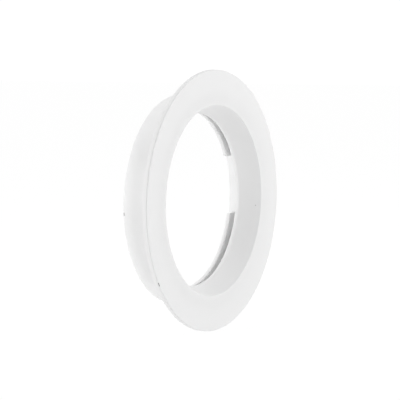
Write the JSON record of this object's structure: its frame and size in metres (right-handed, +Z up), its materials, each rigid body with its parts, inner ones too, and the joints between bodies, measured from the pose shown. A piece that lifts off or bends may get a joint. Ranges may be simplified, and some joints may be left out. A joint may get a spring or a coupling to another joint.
{
  "type": "toilet flange",
  "caption": "White plastic flange ring with a tapered throat and a thin rear collar holding inward twist-lock lugs, to seat a toilet outlet over a waste opening.",
  "frame": {"origin": "on the ring's axis, at the plane of the flange's back face, where the collar starts", "axes": "+Y along the ring's axis from the flange to the collar's rear edge, front face towards -Y, +Z up"},
  "size_m": [0.1524, 0.0247, 0.1524],
  "materials": {
    "face_plastic": "satin moulded white",
    "collar_plastic": "satin moulded white"
  },
  "bodies": {
    "root": {"face_ring": "face_plastic", "lock_collar": "collar_plastic"}
  },
  "joints": []
}
